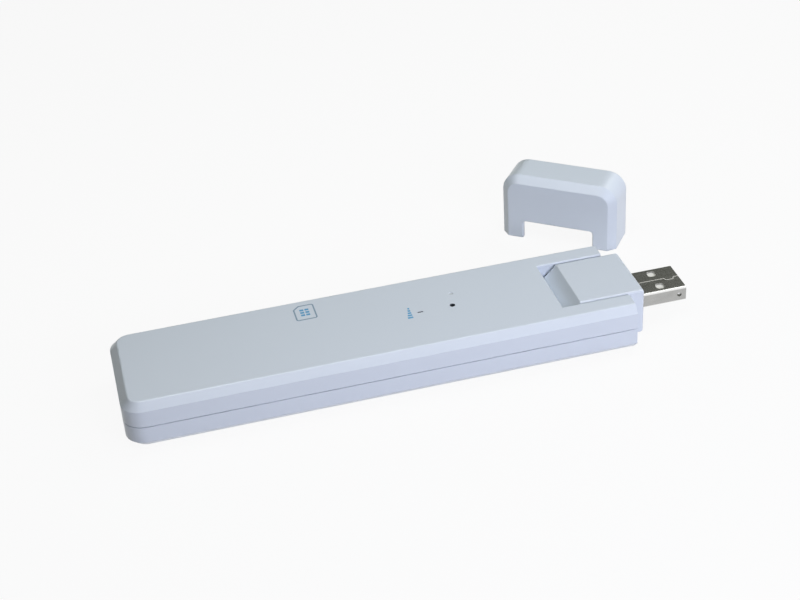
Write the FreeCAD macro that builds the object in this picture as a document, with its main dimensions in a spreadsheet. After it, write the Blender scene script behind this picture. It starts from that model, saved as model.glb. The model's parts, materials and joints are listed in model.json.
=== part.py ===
# Pocket data stick: a flat white casing in two shells, a USB plug head that swings up between
# two arms, the electronics inside, and the loose cap that stands beside it on its open end.
# Millimetres. Origin at the centre of the casing's bottom face, +X towards the plug, +Z up.
import FreeCAD, Part
import math
import os

import Sketcher

TOUCH = 1e-6  # two points nearer than this are the same point

# Name, value in mm (degrees where it says so), and what it is
SIZES = (
    ("casing_length", 140.4, "closed end to the shoulders at the plug end"),
    ("arm_width", 7.05, "each arm beside the plug head"),
    ("casing_height", 14.2, "both shells together"),
    ("wall", 1.5, "thickness of every casing wall, the cap's too"),
    ("top_bevel", 2.1, "45 degree bevel round the top face"),
    ("base_bevel", 2.35, "45 degree bevel round the bottom face"),
    ("face_round", 0.8, "rounding between the top or bottom face and its bevel"),
    ("end_round", 5.6, "corner of the closed end seen from above"),
    ("seam_width", 0.25, "groove where the shells meet, up and down"),
    ("seam_depth", 0.45, "groove where the shells meet, into the wall"),
    ("mouth_bevel", 0.3, "bevel round the fork and round the cap's notches"),
    ("lip_rise", 0.8, "tongue of the lower shell above the parting plane"),
    ("lip_thick", 0.6, "thickness of that tongue"),
    ("lip_gap", 0.1, "clearance of the tongue in the upper shell"),
    ("head_width", 20.9, "plug head, side to side"),
    ("head_height", 14.1, "plug head, which is also twice the radius under its rear"),
    ("rear_slope", 4.1, "45 degree slope at the top of the plug head's rear"),
    ("slope_round", 0.4, "edges of that slope"),
    ("side_gap", 0.5, "between the plug head and each arm"),
    ("rear_gap", 1.25, "between the rear of the plug head and the casing"),
    ("pivot_inset", 10.8, "pivot axis behind the shoulders"),
    ("nose_reach", 4.85, "plug head beyond the shoulders"),
    ("nose_round", 0.9, "top and bottom edge of the nose"),
    ("head_round", 0.7, "edges along the sides of the plug head"),
    ("trunnion_radius", 2.5, "pivot stub on each side of the plug head"),
    ("trunnion_gap", 0.05, "running clearance of the stub in its seat"),
    ("wire_hole_radius", 1.3, "hollow through both stubs"),
    ("wire_channel_width", 8.4, "room for the contact tails behind the plug"),
    ("wire_channel_height", 2.0, "height of that room"),
    ("lug_gap", 0.25, "between the arm's inner wall and the stop lug"),
    ("lug_thick", 1.0, "stop lug along the pivot axis"),
    ("lug_reach", 1.6, "stop lug beyond the stub"),
    ("lug_width", 1.2, "stop lug across"),
    ("stop_gap", 0.1, "between the lug and a stop at the end of the swing"),
    ("stop_thick", 1.2, "width of each stop"),
    ("stop_clear", 0.4, "between a stop and the stub"),
    ("stop_root", 0.6, "stops into the arm's inner wall"),
    ("plug_width", 12.0, "standard USB type A shell"),
    ("plug_height", 4.5, "standard USB type A shell"),
    ("plug_sheet", 0.3, "its steel"),
    ("plug_round", 0.6, "its outer corners"),
    ("plug_reach", 14.35, "plug beyond the nose"),
    ("plug_root", 6.0, "plug inside the head"),
    ("plug_fit", 0.05, "clearance of the plug in the head"),
    ("window_length", 2.4, "window in the plug, along it"),
    ("window_width", 2.6, "window in the plug, across it"),
    ("window_round", 0.9, "corners of a window in the plug"),
    ("window_spacing", 6.5, "between the centres of the two windows"),
    ("window_setback", 6.8, "centre of the windows behind the tip"),
    ("side_hole_radius", 0.65, "round hole in each side of the plug"),
    ("side_hole_setback", 2.0, "that hole behind the tip"),
    ("fold_gap", 0.15, "slit where the folded steel meets"),
    ("fold_jog", 1.0, "sideways step of the dovetail in that slit"),
    ("fold_start", 9.8, "start of the dovetail beyond the nose"),
    ("fold_run", 2.9, "length of the dovetail"),
    ("fold_slope", 0.5, "length of each slanted side of the dovetail"),
    ("insulator_gap", 0.1, "between the insulator and the steel"),
    ("insulator_base", 8.0, "part of the insulator that fills the plug"),
    ("tongue_thick", 1.9, "plastic tongue that carries the contacts"),
    ("tongue_setback", 0.7, "tongue behind the plug's tip"),
    ("contact_width", 1.0, "each contact"),
    ("contact_thick", 0.2, "each contact"),
    ("contact_proud", 0.05, "contact below the face of the tongue"),
    ("contact_setback", 0.8, "contact behind the end of the tongue"),
    ("contact_tail", 2.0, "contact behind the insulator"),
    ("contact_inner", 1.0, "middle of an inner contact from the centre line"),
    ("contact_outer", 3.5, "middle of an outer contact from the centre line"),
    ("groove_gap", 0.05, "beside a contact in its groove"),
    ("cap_end_wall", 1.45, "closed end of the cap"),
    ("cap_tip_gap", 0.2, "between the cap and the plug's tip when it is on"),
    ("cap_round", 5.6, "corners of the cap's closed end"),
    ("cap_bevel", 2.2, "45 degree bevel round the cap"),
    ("cap_notch_gap", 0.6, "between the nose and the notch, each side"),
    ("cap_notch_clear", 0.9, "between the nose and the end of the notch"),
    ("cap_notch_round", 1.0, "inner corners of the notch"),
    ("cap_web_thick", 1.0, "web inside the cap beside the plug"),
    ("cap_web_gap", 0.2, "between a web and the plug"),
    ("cap_web_start", 0.8, "webs beyond the end of the notch"),
    ("cap_web_root", 0.2, "webs into the cap's walls"),
    ("cap_x", 72.5, "middle of the cap as it stands"),
    ("cap_y", 48.35, "middle of the cap as it stands"),
    ("cap_turn", 37.5, "degrees, clockwise from above"),
    ("board_rise", 5.7, "underside of the circuit board"),
    ("board_thick", 1.0, "circuit board"),
    ("board_gap", 1.1, "board to casing wall"),
    ("post_radius", 1.9, "post under the board"),
    ("pin_radius", 1.0, "pin of the upper shell"),
    ("pin_gap", 0.05, "clearance of a pin in its post"),
    ("pin_depth", 2.0, "pin inside its post"),
    ("pin_end_gap", 0.1, "below the end of a pin"),
    ("board_hole_gap", 0.1, "clearance of a pin in the board"),
    ("post_rear", 12.2, "rear posts from the closed end"),
    ("post_front", 26.2, "front posts behind the shoulders"),
    ("post_inset", 6.0, "posts from the casing's side"),
    ("can_sheet", 0.2, "sheet metal of the shield cans and the SIM cover"),
    ("vent_radius", 0.6, "holes in the shield cans"),
    ("sim_x", 53.8, "middle of the SIM slot from the closed end"),
    ("sim_slot_width", 13.0, "SIM slot in the far wall"),
    ("sim_slot_height", 1.3, "SIM slot in the far wall"),
    ("sim_socket_length", 15.6, "SIM socket along the casing"),
    ("sim_socket_width", 14.0, "SIM socket across the casing"),
    ("sim_base_thick", 0.5, "moulded base of the SIM socket"),
    ("sim_cover_rise", 1.6, "sheet cover of the SIM socket above the board"),
    ("sim_cover_opening", 7.0, "opening in that cover, along the casing"),
    ("sim_cover_opening_width", 4.6, "opening in that cover, across the casing"),
    ("sim_pad", 1.6, "side of each SIM contact"),
    ("sim_pad_thick", 0.3, "each SIM contact"),
    ("sim_pad_pitch", 3.25, "SIM contacts along the casing"),
    ("sim_row_pitch", 5.6, "SIM contacts across the casing"),
    ("reset_beyond", 9.2, "pinhole and reset switch beyond the small window"),
    ("reset_hole_radius", 0.72, "pinhole"),
    ("reset_switch_width", 4.5, "reset switch"),
    ("reset_switch_height", 3.4, "reset switch"),
    ("plunger_radius", 0.8, "plunger of the reset switch"),
    ("plunger_gap", 0.05, "plunger in the switch"),
    ("plunger_length", 2.6, "plunger of the reset switch"),
    ("plunger_travel", 0.25, "plunger, pressed"),
    ("plunger_proud", 1.1, "plunger above the switch"),
    ("window_x", 84.0, "small window on top from the closed end"),
    ("window_y", -0.25, "small window on top from the centre line"),
    ("window_run", 1.45, "small window, along the casing"),
    ("window_across", 0.5, "small window, across the casing"),
    ("dot_beyond", 10.4, "round light on top beyond the small window"),
    ("dot_y", 5.7, "round light on top from the centre line"),
    ("dot_radius", 0.55, "round light on top"),
    ("guide_gap", 0.05, "light guide in its hole"),
    ("guide_recess", 0.12, "light guide below the top face"),
    ("guide_radius", 1.1, "stem of a light guide"),
    ("guide_lift", 0.2, "light guide above its light"),
    ("light_width", 1.6, "status light"),
    ("light_height", 0.7, "status light"),
    ("carrier_depth", 4.6, "antenna carrier along the casing"),
    ("carrier_width", 24.0, "antenna carrier across the casing"),
    ("carrier_height", 4.4, "antenna carrier above the board"),
    ("carrier_wall", 1.0, "walls of the hollow antenna carrier"),
    ("foil_thick", 0.15, "main antenna over its carrier"),
    ("foil_slot_width", 12.0, "slot in the main antenna, across the casing"),
    ("foil_slot_height", 0.6, "slot in the main antenna"),
    ("side_antenna_setback", 30.1, "middle of the side antenna behind the shoulders"),
    ("side_antenna_length", 22.0, "side antenna along the casing"),
    ("side_antenna_thick", 0.6, "side antenna across the casing"),
    ("side_antenna_height", 4.4, "side antenna above the board"),
    ("small_antenna_setback", 38.0, "middle of the small antenna behind the shoulders"),
    ("small_antenna_side", 11.0, "middle of the small antenna from the centre line"),
    ("small_antenna_length", 6.0, "small antenna along the casing"),
    ("small_antenna_width", 2.0, "small antenna across the casing"),
    ("small_antenna_height", 1.2, "small antenna above the board"),
    ("connector_setback", 32.8, "cable connector behind the shoulders"),
    ("connector_length", 3.6, "cable connector along the casing"),
    ("connector_width", 4.0, "cable connector across the casing"),
    ("connector_height", 1.5, "cable connector above the board"),
    ("flex_width", 1.5, "flat cable to the plug head"),
    ("flex_thick", 0.15, "flat cable to the plug head"),
    ("flex_gap", 0.15, "between the flat cable and the hollow stub"),
    ("capacitor_pitch", 1.6, "capacitors along the casing"),
    ("capacitor_row", 2.4, "capacitors across the casing"),
)

# What stands on the board: name, middle from the closed end and from the centre line,
# length, width and height
ON_BOARD = (
    ("modem_shield", 29.2, 0.0, 26.0, 27.0, 2.4),
    ("power_chip", 50.2, -6.0, 4.0, 4.0, 0.8),
    ("power_coil", 56.2, -6.0, 4.0, 4.0, 2.0),
    ("crystal", 50.2, -12.0, 3.2, 2.5, 0.7),
    ("capacitor", 63.7, -10.5, 1.0, 1.6, 0.8),
)

# What stands beside the small window: name, middle from the window's middle, and the same sizes
BY_WINDOW = (
    ("wifi_shield", -8.3, 3.25, 12.0, 16.0, 2.4),
)

# What lies under a shield can: name, middle from the can's middle, length, width and height
UNDER_CAN = (
    ("modem_chip", -4.0, 3.0, 11.0, 11.0, 1.1),
    ("memory_chip", 7.0, -5.0, 8.0, 10.0, 0.9),
    ("wifi_chip", 0.0, 0.0, 7.0, 7.0, 0.9),
)
FIELDS = ("x", "y", "length", "width", "height")


class Size:
    """A number that also knows its formula over the names of the sheet."""

    def __init__(self, number, text):
        self.number = number
        self.text = text

    def joined(self, other, sign, number):
        return Size(number, "(%s %s %s)" % (self.text, sign, other.text))

    def __add__(self, other):
        other = as_size(other)
        return self.joined(other, "+", self.number + other.number)

    def __sub__(self, other):
        other = as_size(other)
        return self.joined(other, "-", self.number - other.number)

    def __mul__(self, other):
        other = as_size(other)
        return self.joined(other, "*", self.number * other.number)

    def __truediv__(self, other):
        other = as_size(other)
        return self.joined(other, "/", self.number / other.number)

    def __radd__(self, other):
        return as_size(other) + self

    def __rsub__(self, other):
        return as_size(other) - self

    def __rmul__(self, other):
        return as_size(other) * self

    def __neg__(self):
        return self * -1


def as_size(value):
    return value if isinstance(value, Size) else Size(value, "(%r)" % value)


def fill_sheet(document):
    """The driving dimensions, one row each: name, value, meaning."""
    sheet = document.addObject("Spreadsheet::Sheet", "sizes")
    named = {}
    rows = list(SIZES)
    for name, *numbers in ON_BOARD + BY_WINDOW + UNDER_CAN:
        rows += [("%s_%s" % (name, field), number, name) for field, number in zip(FIELDS, numbers)]
    for row, (name, number, meaning) in enumerate(rows, 1):
        sheet.set("A%d" % row, name)
        sheet.set("B%d" % row, str(number))
        sheet.set("C%d" % row, meaning)
        sheet.setAlias("B%d" % row, name)
        named[name] = Size(number, "sizes." + name)
    document.recompute()
    return named


doc = FreeCAD.newDocument("data_stick")
S = fill_sheet(doc)

# Places that several pieces share
HALF_LENGTH = S["casing_length"] / 2
TOP = S["casing_height"]
MID = TOP / 2
WALL = S["wall"]
ROOF = TOP - WALL
INNER_MITRE = WALL * (2 - math.sqrt(2))  # inside, a bevel is this much smaller than outside
HEAD_RADIUS = S["head_height"] / 2
HEAD_SIDE = S["head_width"] / 2
FORK_SIDE = HEAD_SIDE + S["side_gap"]
HALF_WIDTH = FORK_SIDE + S["arm_width"]
PIVOT = HALF_LENGTH - S["pivot_inset"]
FORK_REAR = PIVOT - HEAD_RADIUS - S["rear_gap"]
NOSE = HALF_LENGTH + S["nose_reach"]
TIP = NOSE + S["plug_reach"]
PLUG_REAR = NOSE - S["plug_root"]
ARM_WALL = FORK_SIDE + WALL
LUG_START = ARM_WALL + S["lug_gap"]
STUB_END = LUG_START + S["lug_thick"]
BOARD_TOP = S["board_rise"] + S["board_thick"]
BOARD_SIDE = HALF_WIDTH - WALL - S["board_gap"]
BOARD_END = WALL + S["board_gap"] - HALF_LENGTH
POSTS = [(x, (HALF_WIDTH - S["post_inset"]) * side)
         for x in (S["post_rear"] - HALF_LENGTH, HALF_LENGTH - S["post_front"])
         for side in (-1, 1)]
TONGUE_TOP = MID + S["plug_height"] / 2 - S["plug_sheet"] - S["insulator_gap"]
TONGUE_FACE = TONGUE_TOP - S["tongue_thick"]
CONTACT_FACE = TONGUE_FACE - S["contact_proud"]
SIM_X = S["sim_x"] - HALF_LENGTH
WINDOW_X = S["window_x"] - HALF_LENGTH
RESET_X = WINDOW_X + S["reset_beyond"]
DOT_X = WINDOW_X + S["dot_beyond"]
PLUNGER_REST = BOARD_TOP + S["reset_switch_height"] + S["plunger_proud"] - S["plunger_length"]
FLEX_FACE = CONTACT_FACE - S["flex_thick"]


def bind(target, path, size):
    target.setExpression(path, as_size(size).text)


def place(target, corner):
    for axis, value in zip("xyz", corner):
        bind(target, "Placement.Base." + axis, value)


# Sketches

def sketch_on(body, role, label, shift=0):
    """A sketch on one of the body's own origin planes, moved along the plane's normal."""
    plane = next(f for f in body.Origin.OriginFeatures if f.Role == role)
    sketch = body.newObject("Sketcher::SketchObject", label)
    sketch.AttachmentSupport = (plane, [""])
    sketch.MapMode = "FlatFace"
    bind(sketch, "AttachmentOffset.Base.z", shift)
    return sketch


def hold(sketch, kind, *where_and_size):
    *where, size = where_and_size
    index = sketch.addConstraint(Sketcher.Constraint(kind, *where, size.number))
    sketch.setExpression("Constraints[%d]" % index, size.text)


def pin(sketch, element, end, point):
    """Fix an end of an element at the point (x, y), measured from the sketch's origin."""
    for kind, axis, size in (("DistanceX", -2, point[0]), ("DistanceY", -1, point[1])):
        if size.number == 0:
            sketch.addConstraint(Sketcher.Constraint("PointOnObject", element, end, axis))
        else:
            hold(sketch, kind, -1, 1, element, end, size)


def vector(point):
    return FreeCAD.Vector(point[0].number, point[1].number, 0)


def towards(start, end):
    """Unit step (x, y) along an edge that runs with an axis."""
    gap = vector(end) - vector(start)
    length = gap.Length
    return round(gap.x / length), round(gap.y / length)


def rounded_corner(before, corner, after, radius):
    """Start, middle and end of the arc that rounds a square corner."""
    to_before = towards(corner, before)
    to_after = towards(corner, after)
    start = [corner[i] + radius * to_before[i] for i in (0, 1)]
    end = [corner[i] + radius * to_after[i] for i in (0, 1)]
    diagonal = FreeCAD.Vector(to_before[0] + to_after[0], to_before[1] + to_after[1], 0)
    centre = vector(corner) + diagonal * radius.number
    inward = vector(corner) - centre
    middle = centre + inward.normalize() * radius.number
    return start, middle, end


def draw(sketch, corners):
    """Closed outline through corners (x, y), or (x, y, radius) where a square corner is rounded."""
    corners = [[as_size(value) for value in corner] for corner in corners]
    stops = []
    for index, corner in enumerate(corners):
        before = corners[index - 1]
        after = corners[(index + 1) % len(corners)]
        if len(corner) == 3:
            start, middle, end = rounded_corner(before, corner[:2], after, corner[2])
            stops.append((start, end, middle, corner[2]))
        else:
            stops.append((corner, corner, None, None))
    pieces = []
    for index, (start, end, middle, radius) in enumerate(stops):
        if middle is not None:
            arc = Part.Arc(vector(start), middle, vector(end))
            element = sketch.addGeometry(arc)
            first_is_start = (sketch.getPoint(element, 1) - vector(start)).Length < 1e-4
            marks = (1, 2) if first_is_start else (2, 1)
            pieces.append((element, *marks, end, radius))
        following = stops[(index + 1) % len(stops)][0]
        if (vector(following) - vector(end)).Length > TOUCH:
            element = sketch.addGeometry(Part.LineSegment(vector(end), vector(following)))
            pieces.append((element, 1, 2, following, None))
    for index, (element, _, end_mark, end, radius) in enumerate(pieces):
        following = pieces[(index + 1) % len(pieces)]
        join = Sketcher.Constraint("Coincident", element, end_mark, following[0], following[1])
        sketch.addConstraint(join)
        pin(sketch, element, end_mark, end)
        if radius is not None:
            hold(sketch, "Radius", element, radius)


def draw_circle(sketch, centre, radius):
    centre = [as_size(value) for value in centre]
    radius = as_size(radius)
    circle = Part.Circle(vector(centre), FreeCAD.Vector(0, 0, 1), radius.number)
    element = sketch.addGeometry(circle)
    pin(sketch, element, 3, centre)
    hold(sketch, "Radius", element, radius)


def rectangle(x_low, x_high, y_low, y_high, radius=None):
    corners = [(x_low, y_low), (x_high, y_low), (x_high, y_high), (x_low, y_high)]
    return corners if radius is None else [corner + (radius,) for corner in corners]


def centred(x, y, length, width, radius=None):
    return rectangle(x - length / 2, x + length / 2, y - width / 2, y + width / 2, radius)


# Features

def new_body(label):
    body = doc.addObject("PartDesign::Body", label)
    body.Label = label
    return body


def extrude(body, kind, label, sketch, length, both=False, flipped=False):
    """A Pad along the sketch's normal, or a Pocket against it."""
    feature = body.newObject("PartDesign::" + kind, label)
    feature.Profile = sketch
    bind(feature, "Length", length)
    feature.SideType = "Symmetric" if both else "One side"
    feature.Reversed = flipped
    sketch.Visibility = False
    return feature


def edges_of(feature, wanted):
    """Names of the edges whose ends and middle all pass the test."""
    doc.recompute()
    names = []
    for number, edge in enumerate(feature.Shape.Edges, 1):
        first, last = edge.ParameterRange
        points = [edge.valueAt(first + share * (last - first)) for share in (0, 0.5, 1)]
        if wanted(points):
            names.append("Edge%d" % number)
    return names


def dress(body, kind, label, base, wanted, size):
    """A Chamfer or a Fillet on the edges that pass the test."""
    feature = body.newObject("PartDesign::" + kind, label)
    feature.Base = (base, edges_of(base, wanted))
    bind(feature, "Size" if kind == "Chamfer" else "Radius", size)
    return feature


def near(value, size):
    return abs(value - size.number) < 1e-4


# Casing

def casing_outline(inset):
    """The casing seen from above, with its fork for the plug head, moved inwards by inset."""
    end = -HALF_LENGTH + inset
    shoulder = HALF_LENGTH - inset
    side = HALF_WIDTH - inset
    arm = FORK_SIDE + inset
    rear = FORK_REAR - inset
    corner = S["end_round"] - inset
    return [(end, -side, corner), (shoulder, -side), (shoulder, -arm), (rear, -arm),
            (rear, arm), (shoulder, arm), (shoulder, side), (end, side, corner)]


def in_fork(points, inset=0):
    rear = FORK_REAR - inset
    arm = FORK_SIDE + inset
    return all(p.x > rear.number - 1e-4 and abs(p.y) < arm.number + 1e-4 for p in points)


def on_shoulder(points, inset=0):
    return all(near(p.x, HALF_LENGTH - inset) for p in points)


def shell_half(label, upper):
    """What both shells share: outer form, bevels, hollow, and the seats of the pivot stubs."""
    body = new_body(label)
    outline = sketch_on(body, "XY_Plane", label + "_outline", MID)
    draw(outline, casing_outline(as_size(0)))
    block = extrude(body, "Pad", label + "_block", outline, MID, flipped=not upper)
    face = TOP if upper else as_size(0)
    bevel = S["top_bevel"] if upper else S["base_bevel"]

    def outer_edge(points):
        return all(near(p.z, face) for p in points) and not in_fork(points) and not on_shoulder(points)

    def mouth_edge(points):
        return all(near(p.z, face) for p in points) and in_fork(points)

    bevelled = dress(body, "Chamfer", label + "_edge_bevel", block, outer_edge, bevel)
    softened = dress(body, "Fillet", label + "_face_round", bevelled, outer_edge, S["face_round"])
    dress(body, "Chamfer", label + "_mouth_bevel", softened, mouth_edge, S["mouth_bevel"])

    hollow = sketch_on(body, "XY_Plane", label + "_hollow_outline", MID)
    draw(hollow, casing_outline(WALL))
    hollowed = extrude(body, "Pocket", label + "_hollow", hollow, MID - WALL, flipped=upper)
    floor = ROOF if upper else WALL

    def floor_edge(points):
        return (all(near(p.z, floor) for p in points) and not in_fork(points, WALL)
                and not on_shoulder(points, WALL))

    dress(body, "Chamfer", label + "_inner_bevel", hollowed, floor_edge, bevel - INNER_MITRE)
    return body


def cut_trunnion_seats(body):
    seat = sketch_on(body, "XZ_Plane", body.Label + "_seat_circle")
    draw_circle(seat, (PIVOT, MID), S["trunnion_radius"] + S["trunnion_gap"])
    span = (LUG_START + S["lug_gap"]) * 2
    extrude(body, "Pocket", body.Label + "_trunnion_seats", seat, span, both=True)


def cut_sim_slot(body):
    """The slot in the far side wall, above the parting plane."""
    slot = sketch_on(body, "XZ_Plane", body.Label + "_sim_outline", -BOARD_SIDE)
    half = S["sim_slot_width"] / 2
    draw(slot, rectangle(SIM_X - half, SIM_X + half, MID, MID + S["sim_slot_height"]))
    extrude(body, "Pocket", body.Label + "_sim_slot", slot, HALF_WIDTH)


def lower_shell():
    body = shell_half("lower_shell", upper=False)
    lip = sketch_on(body, "XY_Plane", "lip_outline", MID)
    draw(lip, casing_outline(WALL - S["lip_thick"]))
    draw(lip, casing_outline(WALL))
    extrude(body, "Pad", "lip", lip, S["lip_rise"])

    posts = sketch_on(body, "XY_Plane", "post_circles", WALL)
    for centre in POSTS:
        draw_circle(posts, centre, S["post_radius"])
    extrude(body, "Pad", "posts", posts, S["board_rise"] - WALL)
    holes = sketch_on(body, "XY_Plane", "post_hole_circles", S["board_rise"])
    for centre in POSTS:
        draw_circle(holes, centre, S["pin_radius"] + S["pin_gap"])
    extrude(body, "Pocket", "post_holes", holes, S["pin_depth"] + S["pin_end_gap"])

    stops = sketch_on(body, "XY_Plane", "rest_stop_outlines", WALL)
    near_end = PIVOT + S["trunnion_radius"] + S["stop_clear"]
    far_end = PIVOT + S["trunnion_radius"] + S["lug_reach"]
    draw(stops, rectangle(near_end, far_end, ARM_WALL - S["stop_root"], STUB_END))
    draw(stops, rectangle(near_end, far_end, -STUB_END, S["stop_root"] - ARM_WALL))
    extrude(body, "Pad", "rest_stops", stops, MID - S["lug_width"] / 2 - S["stop_gap"] - WALL)
    cut_trunnion_seats(body)
    cut_sim_slot(body)
    return body


def upper_shell():
    body = shell_half("upper_shell", upper=True)
    rebate = sketch_on(body, "XY_Plane", "rebate_outline", MID)
    draw(rebate, casing_outline(WALL - S["lip_thick"] - S["lip_gap"]))
    extrude(body, "Pocket", "rebate", rebate, S["lip_rise"] + S["lip_gap"], flipped=True)
    groove = sketch_on(body, "XY_Plane", "groove_outline", MID)
    draw(groove, casing_outline(-WALL))
    draw(groove, casing_outline(S["seam_depth"]))
    extrude(body, "Pocket", "groove", groove, S["seam_width"], flipped=True)

    pins = sketch_on(body, "XY_Plane", "pin_circles", ROOF)
    for centre in POSTS:
        draw_circle(pins, centre, S["pin_radius"])
    extrude(body, "Pad", "pins", pins, ROOF - S["board_rise"] + S["pin_depth"], flipped=True)

    stops = sketch_on(body, "XY_Plane", "swing_stop_outlines", ROOF)
    near_end = PIVOT - S["lug_width"] / 2 - S["stop_gap"]
    draw(stops, rectangle(near_end - S["stop_thick"], near_end, ARM_WALL - S["stop_root"], STUB_END))
    draw(stops, rectangle(near_end - S["stop_thick"], near_end, -STUB_END, S["stop_root"] - ARM_WALL))
    depth = ROOF - MID - S["trunnion_radius"] - S["stop_clear"]
    extrude(body, "Pad", "swing_stops", stops, depth, flipped=True)
    cut_trunnion_seats(body)
    cut_sim_slot(body)

    holes = sketch_on(body, "XY_Plane", "top_hole_outlines", TOP)
    draw_circle(holes, (RESET_X, 0), S["reset_hole_radius"])
    draw_circle(holes, (DOT_X, S["dot_y"]), S["dot_radius"] + S["guide_gap"])
    draw(holes, centred(WINDOW_X, S["window_y"], S["window_run"] + S["guide_gap"] * 2,
                        S["window_across"] + S["guide_gap"] * 2))
    extrude(body, "Pocket", "top_holes", holes, WALL)
    return body


# Plug head and plug

def plug_head():
    body = new_body("plug_head")
    profile = sketch_on(body, "XZ_Plane", "head_profile")
    rear = PIVOT - HEAD_RADIUS
    low = MID - HEAD_RADIUS
    high = MID + HEAD_RADIUS
    slope = S["rear_slope"]
    draw(profile, [(rear, low, HEAD_RADIUS), (NOSE, low, S["nose_round"]),
                   (NOSE, high, S["nose_round"]), (rear + slope, high), (rear, high - slope)])
    block = extrude(body, "Pad", "head_block", profile, S["head_width"], both=True)

    def slope_edge(points):
        return (all(near(p.x, rear + slope) and near(p.z, high) for p in points)
                or all(near(p.x, rear) and near(p.z, high - slope) for p in points))

    rounded = dress(body, "Fillet", "slope_edges", block, slope_edge, S["slope_round"])
    dress(body, "Fillet", "head_edges", rounded,
          lambda points: all(near(abs(p.y), HEAD_SIDE) for p in points), S["head_round"])

    stub = sketch_on(body, "XZ_Plane", "stub_circle")
    draw_circle(stub, (PIVOT, MID), S["trunnion_radius"])
    extrude(body, "Pad", "stubs", stub, STUB_END * 2, both=True)

    lug = sketch_on(body, "XZ_Plane", "lug_outline", LUG_START)
    root = PIVOT + S["wire_hole_radius"] + S["stop_clear"]
    half = S["lug_width"] / 2
    draw(lug, rectangle(root, PIVOT + S["trunnion_radius"] + S["lug_reach"], MID - half, MID + half))
    near_lug = extrude(body, "Pad", "stop_lug", lug, S["lug_thick"])
    mirrored = body.newObject("PartDesign::Mirrored", "stop_lugs")
    mirrored.Originals = [near_lug]
    mirrored.MirrorPlane = (next(f for f in body.Origin.OriginFeatures if f.Role == "XZ_Plane"), [""])
    body.Tip = mirrored

    socket = sketch_on(body, "YZ_Plane", "socket_outline", NOSE)
    draw(socket, centred(as_size(0), MID, S["plug_width"] + S["plug_fit"] * 2,
                         S["plug_height"] + S["plug_fit"] * 2))
    extrude(body, "Pocket", "plug_socket", socket, S["plug_root"])
    channel = sketch_on(body, "YZ_Plane", "channel_outline", PLUG_REAR)
    draw(channel, centred(as_size(0), MID, S["wire_channel_width"], S["wire_channel_height"]))
    extrude(body, "Pocket", "wire_channel", channel, PLUG_REAR - PIVOT)
    hole = sketch_on(body, "XZ_Plane", "wire_hole_circle")
    draw_circle(hole, (PIVOT, MID), S["wire_hole_radius"])
    extrude(body, "Pocket", "wire_hole", hole, HALF_WIDTH * 2, both=True)
    return body


def usb_shell():
    """Steel tube folded from sheet, with a jogged slit on top and windows in both faces."""
    body = new_body("usb_shell")
    section = sketch_on(body, "YZ_Plane", "shell_section", PLUG_REAR)
    sheet = S["plug_sheet"]
    draw(section, centred(as_size(0), MID, S["plug_width"], S["plug_height"], S["plug_round"]))
    draw(section, centred(as_size(0), MID, S["plug_width"] - sheet * 2, S["plug_height"] - sheet * 2,
                          S["plug_round"] - sheet))
    extrude(body, "Pad", "shell_tube", section, S["plug_root"] + S["plug_reach"])

    top = MID + S["plug_height"] / 2
    windows = sketch_on(body, "XY_Plane", "window_outlines", top)
    for side in (-1, 1):
        draw(windows, centred(TIP - S["window_setback"], S["window_spacing"] * side / 2,
                              S["window_length"], S["window_width"], S["window_round"]))
    extrude(body, "Pocket", "windows", windows, S["plug_height"])
    side_hole = sketch_on(body, "XZ_Plane", "side_hole_circle")
    draw_circle(side_hole, (TIP - S["side_hole_setback"], MID), S["side_hole_radius"])
    extrude(body, "Pocket", "side_holes", side_hole, S["plug_width"], both=True)

    fold = sketch_on(body, "XY_Plane", "fold_outline", top)
    half = S["fold_gap"] / 2
    start = NOSE + S["fold_start"]
    end = start + S["fold_run"]
    bends = [(PLUG_REAR, as_size(0)), (start, as_size(0)), (start + S["fold_slope"], -S["fold_jog"]),
             (end - S["fold_slope"], -S["fold_jog"]), (end, as_size(0)), (TIP, as_size(0))]
    draw(fold, [(x, y - half) for x, y in bends] + [(x, y + half) for x, y in reversed(bends)])
    extrude(body, "Pocket", "fold", fold, sheet)
    return body


# Simple solids

def box(label, low, size):
    block = doc.addObject("Part::Box", label)
    block.Label = label
    for path, value in zip(("Length", "Width", "Height"), size):
        bind(block, path, value)
    place(block, low)
    return block


def cylinder(label, foot, radius, height):
    rod = doc.addObject("Part::Cylinder", label)
    rod.Label = label
    bind(rod, "Radius", radius)
    bind(rod, "Height", height)
    place(rod, foot)
    return rod


def fused(label, shapes):
    whole = doc.addObject("Part::MultiFuse", label)
    whole.Label = label
    whole.Shapes = shapes
    return whole


def cut(label, base, tools):
    result = doc.addObject("Part::Cut", label)
    result.Label = label
    result.Base = base
    result.Tool = tools[0] if len(tools) == 1 else fused(label + "_tools", tools)
    return result


def contact_sides():
    outer, inner = S["contact_outer"], S["contact_inner"]
    return (-outer, -inner, inner, outer)


def usb_insulator():
    """Block that fills the root of the plug, and the tongue along the plug's upper face."""
    width = S["plug_width"] - (S["plug_sheet"] + S["insulator_gap"]) * 2
    inside = S["plug_height"] - (S["plug_sheet"] + S["insulator_gap"]) * 2
    base = box("insulator_base_block", (PLUG_REAR, -width / 2, TONGUE_TOP - inside),
               (S["insulator_base"], width, inside))
    length = S["plug_root"] + S["plug_reach"] - S["tongue_setback"]
    tongue = box("insulator_tongue", (PLUG_REAR, -width / 2, TONGUE_FACE),
                 (length, width, S["tongue_thick"]))
    grooves = []
    for number, side in enumerate(contact_sides(), 1):
        across = S["contact_width"] + S["groove_gap"] * 2
        grooves.append(box("contact_groove_%d" % number, (PLUG_REAR, side - across / 2, CONTACT_FACE),
                           (length - S["contact_setback"] + S["groove_gap"], across, S["contact_thick"])))
    return cut("usb_insulator", fused("insulator_blank", [base, tongue]), grooves)


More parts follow.
